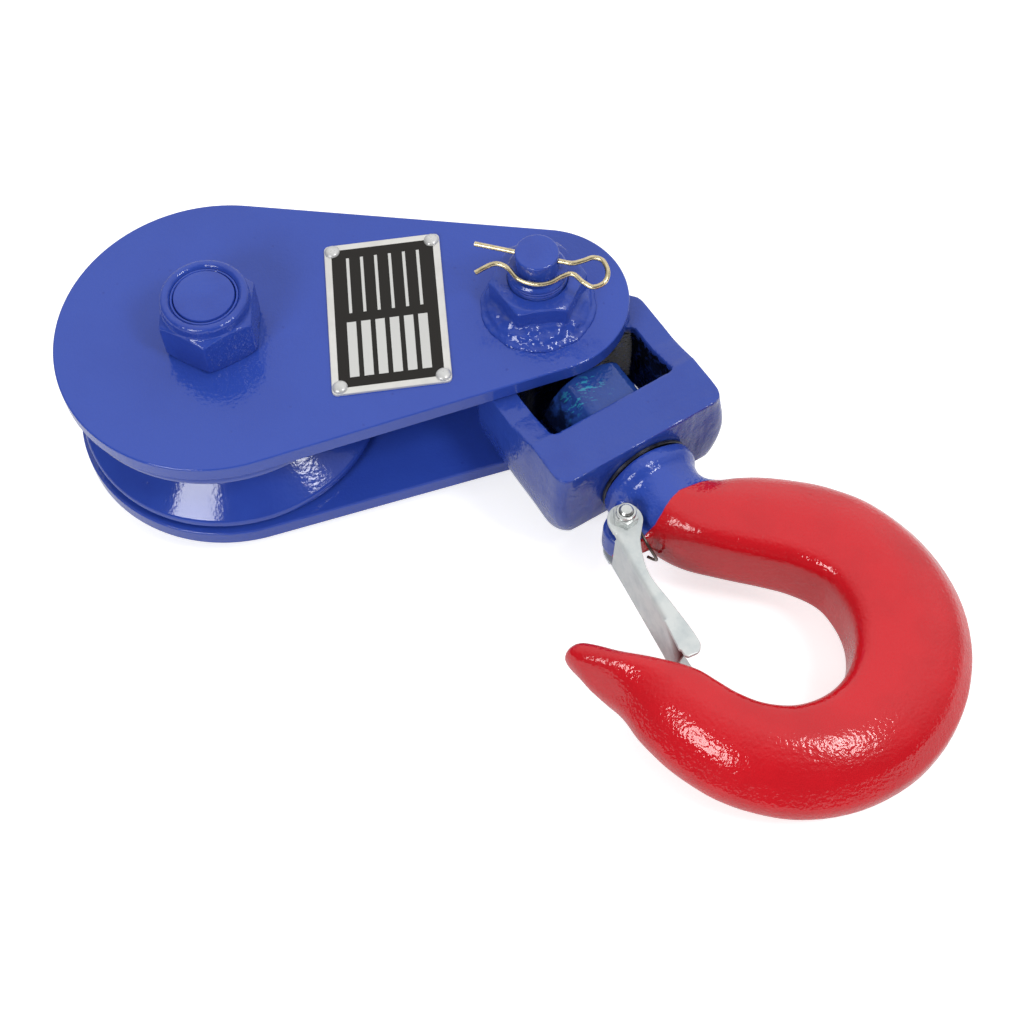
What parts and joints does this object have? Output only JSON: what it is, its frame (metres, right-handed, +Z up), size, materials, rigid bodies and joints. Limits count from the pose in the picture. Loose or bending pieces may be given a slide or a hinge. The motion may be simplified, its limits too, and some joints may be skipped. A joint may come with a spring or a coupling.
{
  "type": "snatch block",
  "caption": "Blue steel snatch block with a grooved sheave between side plates, a hairpin-locked yoke bolt and a red forged swivel hook with a spring latch, lying on its side.",
  "frame": {"origin": "centre of the bounding box on the floor it lies on", "axes": "+X from the big end of the side plates towards the hook, +Y away from the hook's tip across the floor, +Z up"},
  "size_m": [0.3106, 0.258, 0.098],
  "materials": {
    "blue_paint": "gloss blue enamel with runs and orange peel",
    "red_paint": "gloss red enamel, dipped to the neck",
    "zinc_plate": "clear zinc plate, satin",
    "bright_steel": "bright steel",
    "yellow_zinc": "pale yellow zinc plate",
    "dark_steel": "dark oiled steel",
    "bronze": "bronze bush",
    "painted_nylon": "nylon ring painted over in blue",
    "etched_aluminium": "black field with a bare silver border, no text"
  },
  "bodies": {
    "block_frame": {"front_side_plate": "blue_paint", "rear_side_plate": "blue_paint", "front_thrust_washer": "dark_steel", "rear_thrust_washer": "dark_steel", "centre_bolt": "blue_paint", "grease_nipple": "bright_steel", "yoke_bolt": "blue_paint", "centre_lock_nut": "blue_paint", "nylon_insert": "painted_nylon", "weld_nut": "blue_paint", "hairpin_clip": "yellow_zinc", "nameplate": "etched_aluminium", "rivet_1": "zinc_plate", "rivet_2": "zinc_plate", "rivet_3": "zinc_plate", "rivet_4": "zinc_plate"},
    "sheave_body": {"sheave": "blue_paint", "sheave_bush": "bronze"},
    "yoke_body": {"yoke": "blue_paint", "hook_thrust_washer": "dark_steel"},
    "hook_body": {"hook": "red_paint", "hook_nut": "blue_paint", "latch_bolt": "zinc_plate", "latch_nut": "zinc_plate", "latch_spring": "bright_steel"},
    "latch_body": {"latch": "zinc_plate"}
  },
  "joints": [
    {"name": "sheave_spin", "type": "hinge", "parent": "block_frame", "child": "sheave_body", "pos_m": [-0.09648, 0.06684, 0.04354], "axis": [0, -0.1591, 0.9873], "continuous": true},
    {"name": "yoke_swing", "type": "hinge", "parent": "block_frame", "child": "yoke_body", "pos_m": [0.02182, 0.06684, 0.04354], "axis": [0, -0.1591, 0.9873], "range_deg": [-22, 150]},
    {"name": "hook_swivel", "type": "hinge", "parent": "yoke_body", "child": "hook_body", "pos_m": [0.02182, 0.06684, 0.04354], "axis": [0.4384, -0.8873, -0.143], "continuous": true},
    {"name": "latch_hinge", "type": "hinge", "parent": "hook_body", "child": "latch_body", "pos_m": [0.04175, -0.02002, 0.03101], "axis": [0.0635, -0.1282, 0.9897], "range_deg": [0, 35], "stiffness_Nm_per_rad": 0.05, "springref_deg": -34.38}
  ]
}
